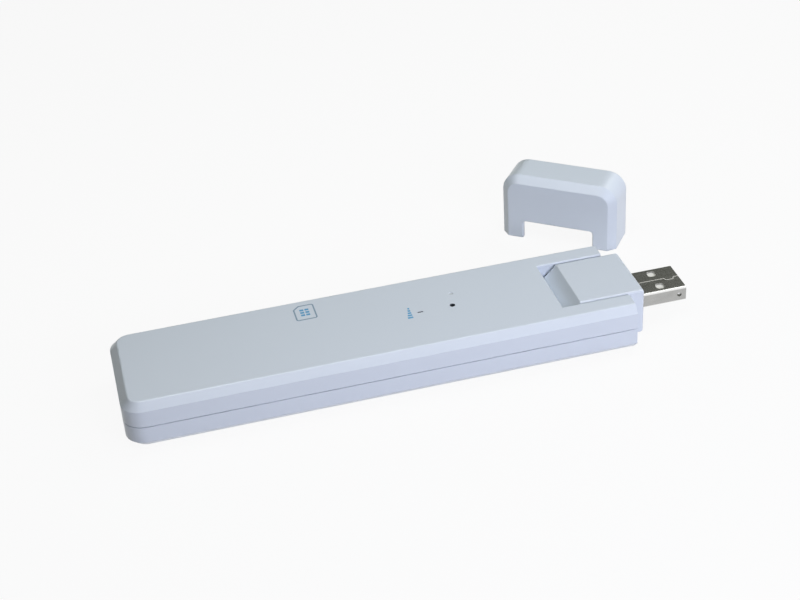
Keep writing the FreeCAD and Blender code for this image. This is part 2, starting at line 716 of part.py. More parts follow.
def usb_contact(number, side):
    """Strip in its groove, bent up at its front end, with a tail behind the insulator."""
    body = new_body("usb_contact_%d" % number)
    strip = sketch_on(body, "XZ_Plane", "strip_profile_%d" % number, -side)
    front = TIP - S["tongue_setback"] - S["contact_setback"]
    rear = PLUG_REAR - S["contact_tail"]
    draw(strip, [(rear, CONTACT_FACE), (front - S["contact_proud"], CONTACT_FACE),
                 (front, CONTACT_FACE + S["contact_proud"]), (front, CONTACT_FACE + S["contact_thick"]),
                 (rear, CONTACT_FACE + S["contact_thick"])])
    extrude(body, "Pad", "strip_%d" % number, strip, S["contact_width"], both=True)
    return body


def plug_flex():
    """End of the flat cable inside the plug head: under the contact tails, then into the near stub."""
    body = new_body("plug_flex")
    half = S["flex_width"] / 2
    wide = S["contact_outer"] + S["contact_width"] / 2
    outline = sketch_on(body, "XY_Plane", "plug_flex_outline", FLEX_FACE)
    draw(outline, [(PIVOT - half, -STUB_END + S["flex_gap"]), (PIVOT + half, -STUB_END + S["flex_gap"]),
                   (PIVOT + half, -wide), (PLUG_REAR - S["flex_gap"], -wide),
                   (PLUG_REAR - S["flex_gap"], wide), (PIVOT - half, wide)])
    extrude(body, "Pad", "plug_flex_sheet", outline, S["flex_thick"])
    return body


# Cap

def plug_cap():
    """Cap in its own frame, x across, y through its thickness, z from the open end upwards."""
    body = new_body("plug_cap")
    length = S["nose_reach"] + S["plug_reach"] + S["cap_tip_gap"] + S["cap_end_wall"]
    notch = HEAD_SIDE + S["cap_notch_gap"]
    depth = S["nose_reach"] + S["cap_notch_clear"]
    outline = sketch_on(body, "XZ_Plane", "cap_outline")
    draw(outline, [(-HALF_WIDTH, 0), (-notch, 0), (-notch, depth, S["cap_notch_round"]),
                   (notch, depth, S["cap_notch_round"]), (notch, 0), (HALF_WIDTH, 0),
                   (HALF_WIDTH, length, S["cap_round"]), (-HALF_WIDTH, length, S["cap_round"])])
    block = extrude(body, "Pad", "cap_block", outline, TOP, both=True)

    def on_wide_face(points):
        return all(near(abs(p.y), MID) for p in points)

    def in_notch(points):
        return all(abs(p.x) < notch.number + 1e-4 and p.z < depth.number + 1e-4 for p in points)

    def at_open_end(points):
        return all(abs(p.z) < 1e-4 for p in points)

    bevelled = dress(body, "Chamfer", "cap_edges", block,
                     lambda p: on_wide_face(p) and not in_notch(p) and not at_open_end(p), S["cap_bevel"])
    dress(body, "Chamfer", "cap_notch_edges", bevelled,
          lambda p: on_wide_face(p) and in_notch(p) and not at_open_end(p), S["mouth_bevel"])

    inside = HALF_WIDTH - WALL
    ceiling = length - S["cap_end_wall"]
    hollow = sketch_on(body, "XZ_Plane", "cap_hollow_outline")
    corner = S["cap_round"] - WALL
    draw(hollow, [(-inside, 0), (inside, 0), (inside, ceiling, corner), (-inside, ceiling, corner)])
    hollowed = extrude(body, "Pocket", "cap_hollow", hollow, TOP - WALL * 2, both=True)

    def hollow_edge(points):
        return all(near(abs(p.y), MID - WALL) for p in points) and any(p.z > 1e-4 for p in points) \
            and not in_notch(points)

    dress(body, "Chamfer", "cap_hollow_bevel", hollowed, hollow_edge, S["cap_bevel"] - INNER_MITRE)
    webs = sketch_on(body, "XZ_Plane", "cap_web_outlines")
    first = S["plug_width"] / 2 + S["cap_web_gap"]
    second = first + S["cap_web_thick"]
    for low, high in ((first, second), (-second, -first)):
        draw(webs, rectangle(low, high, depth + S["cap_web_start"], ceiling + S["cap_web_root"]))
    extrude(body, "Pad", "cap_webs", webs, TOP - WALL * 2 + S["cap_web_root"] * 2, both=True)
    turn = FreeCAD.Rotation(FreeCAD.Vector(0, 0, -1), S["cap_turn"].number)
    body.Placement = FreeCAD.Placement(FreeCAD.Vector(), turn)
    place(body, (S["cap_x"], S["cap_y"], 0))
    bind(body, "Placement.Rotation.Angle", S["cap_turn"])
    return body


# Electronics

def circuit_board():
    body = new_body("circuit_board")
    outline = sketch_on(body, "XY_Plane", "board_outline", S["board_rise"])
    front = FORK_REAR - WALL - S["board_gap"]
    corner = S["end_round"] - WALL - S["board_gap"]
    draw(outline, [(BOARD_END, -BOARD_SIDE, corner), (front, -BOARD_SIDE),
                   (front, BOARD_SIDE), (BOARD_END, BOARD_SIDE, corner)])
    for centre in POSTS:
        draw_circle(outline, centre, S["pin_radius"] + S["board_hole_gap"])
    extrude(body, "Pad", "board_sheet", outline, S["board_thick"])
    return body


def sizes_of(name):
    return [S["%s_%s" % (name, field)] for field in FIELDS]


def on_board(label, x, y, length, width, height, lift=0):
    """Block with its middle at (x, y), on the board or lifted off it."""
    return box(label, (x - length / 2, y - width / 2, BOARD_TOP + lift), (length, width, height))


def shield_can(name, start, chips):
    """Sheet metal can, open towards the board, with three holes in its lid, and the chips under it."""
    x, y, length, width, height = sizes_of(name)
    x, y = start[0] + x, start[1] + y
    sheet = S["can_sheet"]
    outer = on_board(name + "_outer", x, y, length, width, height)
    inner = on_board(name + "_inner", x, y, length - sheet * 2, width - sheet * 2, height - sheet)
    holes = []
    for number, step in enumerate((-1, 0, 1), 1):
        foot = (x + length * step / 4, y, BOARD_TOP)
        holes.append(cylinder("%s_vent_%d" % (name, number), foot, S["vent_radius"], height))
    pieces = [cut(name, outer, [inner] + holes)]
    for chip in chips:
        shift_x, shift_y, *block = sizes_of(chip)
        pieces.append(on_board(chip, x + shift_x, y + shift_y, *block))
    return pieces


def open_parts():
    """Power chip and coil, crystal, and two rows of ceramic capacitors."""
    pieces = []
    for name in ("power_chip", "power_coil", "crystal"):
        from_end, *rest = sizes_of(name)
        pieces.append(on_board(name, from_end - HALF_LENGTH, *rest))
    from_end, y, *block = sizes_of("capacitor")
    rows = [on_board("capacitor_%d" % number, from_end - HALF_LENGTH + S["capacitor_pitch"] * (number % 4),
                     y + S["capacitor_row"] * (number // 4), *block) for number in range(8)]
    return pieces + [fused("capacitors", rows)]


def sim_socket():
    """Moulded base, six contacts in it, and a folded cover that leaves a channel for the card."""
    length, width = S["sim_socket_length"], S["sim_socket_width"]
    sheet = S["can_sheet"]
    middle = BOARD_SIDE - width / 2
    pads = []
    holes = []
    for number in range(6):
        x = SIM_X + S["sim_pad_pitch"] * (number % 3 - 1)
        y = middle + S["sim_row_pitch"] * (number // 3 - 0.5)
        lift = S["sim_base_thick"] - S["sim_pad_thick"]
        name = "sim_contact_%d" % (number + 1)
        pads.append(on_board(name, x, y, S["sim_pad"], S["sim_pad"], S["sim_pad_thick"], lift))
        holes.append(on_board(name + "_hole", x, y, S["sim_pad"], S["sim_pad"], S["sim_base_thick"], lift))
    base = on_board("sim_base_blank", SIM_X, middle, length - sheet * 2, width, S["sim_base_thick"])
    outer = on_board("sim_cover_outer", SIM_X, middle, length, width, S["sim_cover_rise"])
    inner = on_board("sim_cover_inner", SIM_X, middle, length - sheet * 2, width,
                     S["sim_cover_rise"] - sheet)
    opening = on_board("sim_cover_window", SIM_X, middle, S["sim_cover_opening"],
                       S["sim_cover_opening_width"], S["sim_cover_rise"], S["sim_base_thick"])
    return [cut("sim_socket_base", base, holes), fused("sim_contacts", pads),
            cut("sim_socket_cover", outer, [inner, opening])]


def reset_switch():
    width = S["reset_switch_width"]
    block = on_board("reset_switch_block", RESET_X, as_size(0), width, width, S["reset_switch_height"])
    well_foot = PLUNGER_REST - S["plunger_travel"] - S["plunger_gap"]
    well = cylinder("reset_switch_well", (RESET_X, 0, well_foot), S["plunger_radius"] + S["plunger_gap"],
                    S["reset_switch_height"])
    plunger = cylinder("reset_plunger", (RESET_X, 0, PLUNGER_REST), S["plunger_radius"], S["plunger_length"])
    return [cut("reset_switch", block, [well]), plunger]


def status_light(name, x, y, tip):
    """A light on the board and the guide that carries it to the top face."""
    width = S["light_width"]
    light = on_board(name + "_light", x, y, width, width, S["light_height"])
    foot = BOARD_TOP + S["light_height"] + S["guide_lift"]
    stem = cylinder(name + "_stem", (x, y, foot), S["guide_radius"], ROOF - foot)
    return [light, fused(name + "_light_guide", [stem, tip])]


def status_lights():
    run, across = S["window_run"], S["window_across"]
    rise = WALL - S["guide_recess"]
    slit = box("window_tip", (WINDOW_X - run / 2, S["window_y"] - across / 2, ROOF), (run, across, rise))
    dot = cylinder("dot_tip", (DOT_X, S["dot_y"], ROOF), S["dot_radius"], rise)
    return (status_light("window", WINDOW_X, S["window_y"], slit)
            + status_light("dot", DOT_X, S["dot_y"], dot))


def main_antenna():
    """Hollow carrier at the closed end, with the slotted antenna folded over it."""
    foil, wall = S["foil_thick"], S["carrier_wall"]
    depth, width, height = S["carrier_depth"], S["carrier_width"], S["carrier_height"]
    x = BOARD_END + foil + depth / 2
    blank = on_board("carrier_blank", x, as_size(0), depth, width, height)
    hollow = on_board("carrier_hollow", x, as_size(0), depth - wall * 2, width - wall * 2, height - wall)
    over = on_board("antenna_top", x - foil / 2, as_size(0), depth + foil, width, foil, height)
    down = on_board("antenna_side", BOARD_END + foil / 2, as_size(0), foil, width, height)
    slot = on_board("antenna_slot", BOARD_END + foil / 2, as_size(0), foil, S["foil_slot_width"],
                    S["foil_slot_height"], height / 2)
    folded = fused("antenna_blank", [over, down])
    return [cut("antenna_carrier", blank, [hollow]), cut("main_antenna", folded, [slot])]


def other_antennas():
    thick = S["side_antenna_thick"]
    side = on_board("side_antenna", HALF_LENGTH - S["side_antenna_setback"], BOARD_SIDE - thick / 2,
                    S["side_antenna_length"], thick, S["side_antenna_height"])
    small = on_board("small_antenna", HALF_LENGTH - S["small_antenna_setback"], -S["small_antenna_side"],
                     S["small_antenna_length"], S["small_antenna_width"], S["small_antenna_height"])
    return [side, small]


def flat_cable():
    """Connector on the board, and the cable from it along the near arm to the hollow stub."""
    start = HALF_LENGTH - S["connector_setback"]
    connector = box("cable_connector", (start, -BOARD_SIDE, BOARD_TOP),
                    (S["connector_length"], S["connector_width"], S["connector_height"]))
    body = new_body("flat_cable")
    outline = sketch_on(body, "XY_Plane", "flat_cable_outline", FLEX_FACE)
    inner = -STUB_END - S["flex_gap"]
    draw(outline, rectangle(start + S["connector_length"], PIVOT + S["flex_width"] / 2,
                            inner - S["flex_width"], inner))
    extrude(body, "Pad", "flat_cable_sheet", outline, S["flex_thick"])
    return [connector, body]


def make_all():
    nodes = [lower_shell(), upper_shell(), plug_head(), usb_shell(), usb_insulator()]
    nodes += [usb_contact(number, side) for number, side in enumerate(contact_sides(), 1)]
    nodes += [plug_flex(), plug_cap(), circuit_board()]
    nodes += shield_can("modem_shield", (-HALF_LENGTH, as_size(0)), ("modem_chip", "memory_chip"))
    nodes += shield_can("wifi_shield", (WINDOW_X, S["window_y"]), ("wifi_chip",))
    nodes += open_parts() + sim_socket() + reset_switch() + status_lights()
    return nodes + main_antenna() + other_antennas() + flat_cable()


def check_and_write(nodes):
    """Stop on any failed object or bad shape, then write one file for each node."""
    doc.recompute()
    for item in doc.Objects:
        if "Invalid" in item.State or "Error" in item.State:
            raise RuntimeError("%s failed: %s" % (item.Label, item.State))
    for node in nodes:
        if node.Shape.isNull() or not node.Shape.isValid() or not node.Shape.Solids:
            raise RuntimeError("%s has no valid shape" % node.Label)
    os.makedirs("parts", exist_ok=True)
    for node in nodes:
        node.Shape.exportStep("parts/%s.step" % node.Label)
    print("%d nodes written" % len(nodes))


check_and_write(make_all())
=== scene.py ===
"""The looks of a white pocket data stick: its finishes, printed marks, studio and camera."""

import json
import math

import bmesh
import bpy
from mathutils import Matrix, Vector


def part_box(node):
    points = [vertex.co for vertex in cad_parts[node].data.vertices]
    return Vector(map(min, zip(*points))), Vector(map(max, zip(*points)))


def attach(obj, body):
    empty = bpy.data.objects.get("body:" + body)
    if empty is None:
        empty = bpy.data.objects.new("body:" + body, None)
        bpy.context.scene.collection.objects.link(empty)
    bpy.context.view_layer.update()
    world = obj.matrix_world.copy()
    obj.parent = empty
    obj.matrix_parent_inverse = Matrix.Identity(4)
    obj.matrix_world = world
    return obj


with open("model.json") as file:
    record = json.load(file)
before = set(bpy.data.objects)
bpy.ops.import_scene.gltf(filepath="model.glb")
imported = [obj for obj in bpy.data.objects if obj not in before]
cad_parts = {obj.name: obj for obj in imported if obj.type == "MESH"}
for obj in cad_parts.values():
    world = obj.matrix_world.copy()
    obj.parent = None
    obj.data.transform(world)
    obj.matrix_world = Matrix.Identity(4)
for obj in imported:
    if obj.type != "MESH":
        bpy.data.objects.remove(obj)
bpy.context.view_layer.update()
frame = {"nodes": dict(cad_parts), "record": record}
scene = bpy.context.scene

MM = 0.001
WHITE = (1.0, 1.0, 1.0)


def middle(node):
    """The middle of a node's box at rest."""
    low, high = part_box(node)
    return (low + high) / 2


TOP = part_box("upper_shell")[1].z  # of the casing's flat top
FAR_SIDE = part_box("upper_shell")[1].y
PLUG_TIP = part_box("usb_shell")[1].x
PINHOLE = middle("reset_plunger")
SMALL_WINDOW = middle("window_light_guide")
CARD_SOCKET = middle("sim_socket_base")


# Materials

class Finish:
    """A material grown from short calls. Its patterns lie in the part's own frame, in metres."""

    # Places of the factor and the colours among the Mix node's inputs, and of the colour among its outputs
    MIX_FACTOR, MIX_FIRST, MIX_SECOND = 0, 6, 7
    MIX_RESULT = 2
    EDGE_SAMPLES = 6

    def __init__(self, name, **constants):
        self.material = bpy.data.materials.new(name)
        self.material.use_nodes = True
        self.tree = self.material.node_tree
        self.shader = self.tree.nodes["Principled BSDF"]
        coordinates = self.add("TexCoord").outputs
        self.place = coordinates["Object"]
        self.facing = coordinates["Normal"]
        self.tint = None
        for socket, value in constants.items():
            self.shader.inputs[socket.replace("_", " ")].default_value = value

    def feed(self, socket, value):
        """Link a socket to an output, or set it to a plain value."""
        if isinstance(value, bpy.types.NodeSocket):
            self.tree.links.new(value, socket)
        else:
            socket.default_value = value

    def add(self, kind, inputs=(), **settings):
        """A node with its settings, and with its inputs as (socket, value or output) pairs."""
        node = self.tree.nodes.new("ShaderNode" + kind)
        for name, value in settings.items():
            setattr(node, name, value)
        for socket, value in inputs:
            self.feed(node.inputs[socket], value)
        return node

    def worked(self, operation, *values):
        """One step of arithmetic, by its name in the Math node."""
        return self.add("Math", enumerate(values), operation=operation).outputs[0]

    def axes(self, vector):
        return self.add("SeparateXYZ", [(0, vector)]).outputs

    def noise(self, size, detail=2.0, stretch=(1, 1, 1)):
        """Soft patches about size across, drawn out along the axes with a stretch above 1."""
        scale = [1 / (size * share) for share in stretch]
        spread = self.add("Mapping", [("Vector", self.place), ("Scale", scale)]).outputs[0]
        return self.add("TexNoise", [("Vector", spread), ("Scale", 1.0), ("Detail", detail)]).outputs["Fac"]

    def ranged(self, pattern, low, high, start=0.3, end=0.7):
        """low where the pattern is at start or before it, high at end or past it, even between."""
        node = self.add("MapRange", [("Value", pattern), ("From Min", start), ("From Max", end),
                                     ("To Min", low), ("To Max", high)])
        return node.outputs["Result"]

    def mixed(self, pattern, first, second):
        """first where the pattern is 0, second where it is 1; each a colour or an output."""
        node = self.add("Mix", [(self.MIX_FACTOR, pattern)], data_type="RGBA")
        for socket, colour in ((self.MIX_FIRST, first), (self.MIX_SECOND, second)):
            plain = not isinstance(colour, bpy.types.NodeSocket)
            self.feed(node.inputs[socket], (*colour, 1.0) if plain else colour)
        return node.outputs[self.MIX_RESULT]

    def colour(self, output):
        self.tint = output
        self.feed(self.shader.inputs["Base Color"], output)

    def roughness(self, output):
        self.feed(self.shader.inputs["Roughness"], output)

    def relief(self, *layers, edge=0.0):
        """Bumps laid over each other, as (pattern, depth) pairs, on edges rounded by edge."""
        normal = None
        if edge:
            normal = self.add("Bevel", [("Radius", edge)], samples=self.EDGE_SAMPLES).outputs[0]
        for pattern, depth in layers:
            inputs = [("Height", pattern), ("Distance", depth)]
            if normal is not None:
                inputs.append(("Normal", normal))
            normal = self.add("Bump", inputs).outputs[0]
        self.feed(self.shader.inputs["Normal"], normal)

    def glow(self, colour):
        return self.add("Emission", [("Color", colour), ("Strength", 1.0)]).outputs[0]

    def surface(self, output):
        """Show this output in place of the plain shader."""
        self.feed(self.tree.nodes["Material Output"].inputs["Surface"], output)


GLOSS_PATCHES = 4  # patches of gloss along one patch of tint
WAVE_DEPTH = 8  # of the broad unevenness, in depths of the grain


def moulded(name, light, dark, patch, roughness, grain, depth, edge=0.0, **constants):
    """Moulded plastic: two close tints in patches, an uneven gloss and the mould's fine grain."""
    finish = Finish(name, **constants)
    finish.colour(finish.mixed(finish.ranged(finish.noise(patch), 0, 1), light, dark))
    finish.roughness(finish.ranged(finish.noise(patch / GLOSS_PATCHES), *roughness))
    finish.relief((finish.noise(patch), depth * WAVE_DEPTH), (finish.noise(grain, 3), depth), edge=edge)
    return finish


# painted shade: the dark colour put on the pinhole's wall, where there is only shade
PINHOLE_SHADE = (0.065, 0.075, 0.085)
PINHOLE_EDGE = 0.75 * MM, 0.79 * MM  # how far from its axis the wall of the pinhole is painted dark, a painted shade
PINHOLE_DEPTH = 2.9 * MM, 3.0 * MM  # how far down from the casing's top


def pinhole_painted_shade(finish):
    """1 on the wall of the hole above the reset plunger, where shade is painted, 0 elsewhere."""
    flat = finish.add("Mapping", [("Vector", finish.place), ("Location", (-PINHOLE.x, -PINHOLE.y, 0)),
                                  ("Scale", (1, 1, 0))]).outputs[0]
    aside = finish.add("VectorMath", [(0, flat)], operation="LENGTH").outputs["Value"]
    depth = finish.worked("SUBTRACT", TOP, finish.axes(finish.place)["Z"])
    near = finish.ranged(aside, 1, 0, *PINHOLE_EDGE)
    above = finish.ranged(depth, 1, 0, *PINHOLE_DEPTH)
    return finish.worked("MULTIPLY", near, above)


def casing_plastic():
    """White plastic, with painted shade on the wall of the pinhole."""
    finish = moulded("casing_plastic", light=(0.655, 0.71, 0.78), dark=(0.645, 0.70, 0.772),
                     patch=40 * MM, roughness=(0.28, 0.32), grain=0.5 * MM, depth=0.0008 * MM,
                     edge=0.18 * MM, IOR=1.5)
    # the pinhole's wall painted dark, a painted shade
    finish.colour(finish.mixed(pinhole_painted_shade(finish), finish.tint, PINHOLE_SHADE))
    return finish


def cap_plastic_painted_light():
    """The casing's plastic on the cap, whose edges are softer; its tints are painted lighter than the
    casing's, as painted light on the cap.
    """
    # painted light: tints lighter than the casing's
    return moulded("cap_plastic_painted_light", light=(0.69, 0.752, 0.83), dark=(0.68, 0.742, 0.822),
                   patch=40 * MM, roughness=(0.28, 0.32), grain=0.5 * MM, depth=0.0008 * MM,
                   edge=0.5 * MM, IOR=1.5)


SLIT_JOG = PLUG_TIP - 4.35 * MM, PLUG_TIP - 1.45 * MM  # X of both ends of the jog in the plug's slit
SLIT_SLOPE = 0.5 * MM  # along X, at either end of the jog
SLIT_ASIDE = -1.0 * MM  # along Y, from the slit to its jog
SLIT_EDGE = 0.11 * MM, 0.20 * MM  # how far the painted highlight reaches from the slit's middle line


def slit_painted_highlight(finish):
    """1 in a band along the slit where the folded steel meets, at any height, 0 elsewhere: there the steel
    gets a painted highlight.
    """
    axes = finish.axes(finish.place)
    start, end = SLIT_JOG
    leave = finish.ranged(axes["X"], 0, SLIT_ASIDE, start, start + SLIT_SLOPE)
    join = finish.ranged(axes["X"], 0, -SLIT_ASIDE, end - SLIT_SLOPE, end)
    aside = finish.worked("SUBTRACT", axes["Y"], finish.worked("ADD", leave, join))
    return finish.ranged(finish.worked("ABSOLUTE", aside), 1, 0, *SLIT_EDGE)


FOLD_LEAN = 0.10, 0.35  # the sideways part of the surface's direction times its upward part


def folds_painted_highlight(finish):
    """1 round the lengthwise folds, where the surface leans between side and top, 0 on flats; there the
    steel gets a painted highlight.
    """
    axes = finish.axes(finish.facing)
    lean = finish.worked("ABSOLUTE", finish.worked("MULTIPLY", axes["Y"], axes["Z"]))
    return finish.ranged(lean, 0, 1, *FOLD_LEAN)


SLIT_DULLNESS = 0.35  # roughness that the steel has along the slit's painted highlight, beyond the rest


def plug_steel():
    """Nickel-plated sheet with the fine lengthwise streaks of rolling, and duller patches; painted
    highlights make it lighter along the slit and round the folds.
    """
    finish = Finish("plug_steel", Metallic=1.0)
    streaks = finish.noise(0.09 * MM, 3, stretch=(50, 1, 1))
    patches = finish.ranged(finish.noise(3 * MM, 3), 0, 1)
    slit = slit_painted_highlight(finish)
    plain = finish.mixed(patches, (0.49, 0.49, 0.48), (0.44, 0.44, 0.43))
    streaked = finish.mixed(finish.ranged(streaks, 0, 0.3), plain, (0.34, 0.34, 0.33))
    # painted highlight: lighter steel along the slit
    slit_highlighted_steel = finish.mixed(slit, streaked, (0.68, 0.67, 0.65))
    # painted highlight: much lighter steel round the folds
    finish.colour(finish.mixed(folds_painted_highlight(finish), slit_highlighted_steel, (0.86, 0.86, 0.85)))
    dull = finish.ranged(slit, 0, SLIT_DULLNESS, 0, 1)
    finish.roughness(finish.worked("ADD", finish.ranged(streaks, 0.16, 0.26), dull))
    finish.relief((streaks, 0.0015 * MM), edge=0.12 * MM)
    return finish


def insulator_plastic():
    return moulded("insulator_plastic", light=(0.80, 0.79, 0.74), dark=(0.74, 0.73, 0.68),
                   patch=2 * MM, roughness=(0.38, 0.50), grain=0.12 * MM, depth=0.002 * MM)


SPOT_DEPTH = 0.004  # of the dull spots, in sizes of a spot


def plated(name, light, dark, size):
    """Thin plating with scuffs and dull spots."""
    finish = Finish(name, Metallic=1.0)
    spots = finish.noise(size, 4)
    finish.colour(finish.mixed(finish.ranged(spots, 0, 1), light, dark))
    finish.roughness(finish.ranged(finish.noise(size / GLOSS_PATCHES, 3), 0.28, 0.40))
    finish.relief((spots, size * SPOT_DEPTH))
    return finish


def contact_metal():
    return plated("contact_metal", light=(0.80, 0.62, 0.30), dark=(0.68, 0.50, 0.22), size=0.6 * MM)


def antenna_copper():
    return plated("antenna_copper", light=(0.78, 0.45, 0.28), dark=(0.62, 0.34, 0.20), size=1.5 * MM)


def can_metal():
    return plated("can_metal", light=(0.72, 0.72, 0.72), dark=(0.60, 0.60, 0.61), size=2.5 * MM)


TRACK_EDGE = 0.48, 0.56  # where in the wave a copper track begins


def board_laminate():
    """Green solder mask over fine copper tracks."""
    finish = Finish("board_laminate", Specular_IOR_Level=0.5)
    wave = finish.add("TexWave", [("Vector", finish.place), ("Scale", 260.0), ("Distortion", 9.0),
                                  ("Detail", 1.0), ("Detail Scale", 0.6)], wave_profile="TRI")
    tracks = finish.ranged(wave.outputs["Fac"], 0, 1, *TRACK_EDGE)
    patches = finish.ranged(finish.noise(6 * MM), 0, 1)
    mask = finish.mixed(patches, (0.020, 0.150, 0.070), (0.014, 0.115, 0.055))
    finish.colour(finish.mixed(tracks, mask, (0.060, 0.270, 0.110)))
    finish.roughness(finish.ranged(finish.noise(1 * MM, 3), 0.28, 0.42))
    finish.relief((tracks, 0.01 * MM))
    return finish


def chip_plastic():
    return moulded("chip_plastic", light=(0.040, 0.040, 0.044), dark=(0.055, 0.055, 0.060),
                   patch=3 * MM, roughness=(0.50, 0.65), grain=0.08 * MM, depth=0.004 * MM)


def coil_ferrite():
    return moulded("coil_ferrite", light=(0.17, 0.17, 0.18), dark=(0.12, 0.12, 0.13),
                   patch=1 * MM, roughness=(0.60, 0.80), grain=0.10 * MM, depth=0.008 * MM)


def ceramic():
    return moulded("ceramic", light=(0.58, 0.45, 0.31), dark=(0.48, 0.36, 0.25),
                   patch=0.8 * MM, roughness=(0.35, 0.55), grain=0.06 * MM, depth=0.003 * MM)


def button_plastic():
    return moulded("button_plastic", light=(0.012, 0.012, 0.013), dark=(0.020, 0.020, 0.022),
                   patch=0.8 * MM, roughness=(0.55, 0.70), grain=0.06 * MM, depth=0.003 * MM)


def light_body():
    return moulded("light_body", light=(0.82, 0.79, 0.60), dark=(0.76, 0.73, 0.55),
                   patch=0.8 * MM, roughness=(0.28, 0.38), grain=0.08 * MM, depth=0.001 * MM)


def guide_plastic():
    return moulded("guide_plastic", light=(0.12, 0.135, 0.15), dark=(0.09, 0.10, 0.115),
                   patch=0.7 * MM, roughness=(0.14, 0.25), grain=0.06 * MM, depth=0.001 * MM)


def milky_guide():
    """The guide of the round light, almost as pale as the casing."""
    return moulded("milky_guide", light=(0.62, 0.665, 0.70), dark=(0.58, 0.62, 0.66),
                   patch=0.7 * MM, roughness=(0.14, 0.25), grain=0.06 * MM, depth=0.001 * MM)


LINE_EDGE = 0.45, 0.55  # where in the wave a copper line begins


def flex_film():
    """Amber film over lengthwise copper lines."""
    finish = Finish("flex_film", Coat_Weight=0.4)
    wave = finish.add("TexWave", [("Vector", finish.place), ("Scale", 900.0)], bands_direction="Y")
    lines = finish.ranged(wave.outputs["Fac"], 0, 1, *LINE_EDGE)
    finish.colour(finish.mixed(lines, (0.52, 0.24, 0.045), (0.64, 0.34, 0.09)))
    finish.roughness(finish.ranged(finish.noise(1 * MM), 0.28, 0.38))
    finish.relief((lines, 0.01 * MM))
    return finish


def connector_plastic():
    return moulded("connector_plastic", light=(0.78, 0.75, 0.64), dark=(0.70, 0.67, 0.57),
                   patch=1.2 * MM, roughness=(0.40, 0.55), grain=0.08 * MM, depth=0.003 * MM)


def blue_ink():
    return moulded("blue_ink", light=(0.12, 0.375, 0.61), dark=(0.10, 0.33, 0.56),
                   patch=0.5 * MM, roughness=(0.35, 0.50), grain=0.08 * MM, depth=0.001 * MM)


def slate_ink():
    return moulded("slate_ink", light=(0.25, 0.345, 0.44), dark=(0.22, 0.315, 0.41),
                   patch=0.5 * MM, roughness=(0.35, 0.50), grain=0.08 * MM, depth=0.001 * MM)


# Each is named after its slot in the record.
SLOT_FINISHES = (casing_plastic, plug_steel, insulator_plastic, contact_metal, board_laminate, can_metal,
                 chip_plastic, coil_ferrite, ceramic, button_plastic, light_body, guide_plastic,
                 antenna_copper, flex_film, connector_plastic)

# Nodes that differ a little from the rest of their slot; the cap's lighter tints are painted light
OWN_FINISHES = {"plug_cap": cap_plastic_painted_light, "dot_light_guide": milky_guide}


def dress_cad_nodes():
    """Give each node its own finish, or else that of its slot in the record."""
    shared = {make.__name__: make().material for make in SLOT_FINISHES}
    own = {node: make().material for node, make in OWN_FINISHES.items()}
    for row in frame["record"]["subparts"]:
        node = row["node"]
        materials = frame["nodes"][node].data.materials
        materials.clear()
        materials.append(own.get(node, shared[row["material_slot"]]))


def placed(mesh, name, finish):
    """A new object in the scene, from a mesh in the making."""
    data = bpy.data.meshes.new(name)
    mesh.to_mesh(data)
    mesh.free()
    data.materials.append(finish.material)
    piece = bpy.data.objects.new(name, data)
    scene.collection.objects.link(piece)
    return piece


# Printed marks on the top face

INK_THICK = 0.012 * MM
INK_ROOT = 0.008 * MM  # below the surface, so that the ink sits on it


def ink_piece(name, ink, shapes):
    """Flat ink from shapes: each an outline with None, or with an inner one of as many points."""
    low, high = TOP - INK_ROOT, TOP + INK_THICK
    mesh = bmesh.new()
    for outer, inner in shapes:
        rings = [[mesh.verts.new((x, y, z)) for x, y in outline]
                 for outline, z in ((outer, low), (outer, high), (inner, high), (inner, low)) if outline]
        if inner:
            rings.append(rings[0])
        else:
            mesh.faces.new(rings[1])
            mesh.faces.new(rings[0][::-1])
        for below, above in zip(rings, rings[1:]):
            for index in range(len(below)):
                following = (index + 1) % len(below)
                mesh.faces.new((below[index], below[following], above[following], above[index]))
    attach(placed(mesh, name, ink()), "stick")


def block(x_low, x_high, y_low, y_high):
    return [(x_low, y_low), (x_high, y_low), (x_high, y_high), (x_low, y_high)]


def quarter(x, y, radius, start, steps=5):
    """Points of a quarter circle round (x, y), anticlockwise from a start in degrees."""
    angles = [math.radians(start + 90 * step / steps) for step in range(steps + 1)]
    return [(x + radius * math.cos(angle), y + radius * math.sin(angle)) for angle in angles]


def card_outline(low, high, cut, radius):
    """A card with its far left corner cut off and the others rounded, anticlockwise from above."""
    return (quarter(high[0] - radius, low[1] + radius, radius, -90)
            + quarter(high[0] - radius, high[1] - radius, radius, 0)
            + [(low[0] + cut, high[1]), (low[0], high[1] - cut)]
            + quarter(low[0] + radius, low[1] + radius, radius, 180))


CARD_WIDTH = 6.0 * MM
CARD_HEIGHT = 7.3 * MM
CARD_INSET = 4.2 * MM  # from the casing's far side
CARD_CUT = 1.7 * MM
CARD_ROUND = 0.7 * MM
CARD_LINE = 0.42 * MM
CONTACT_WIDTH = 1.1 * MM
CONTACT_HEIGHT = 0.84 * MM
CONTACT_STEP_X = 1.44 * MM
CONTACT_STEP_Y = 1.25 * MM


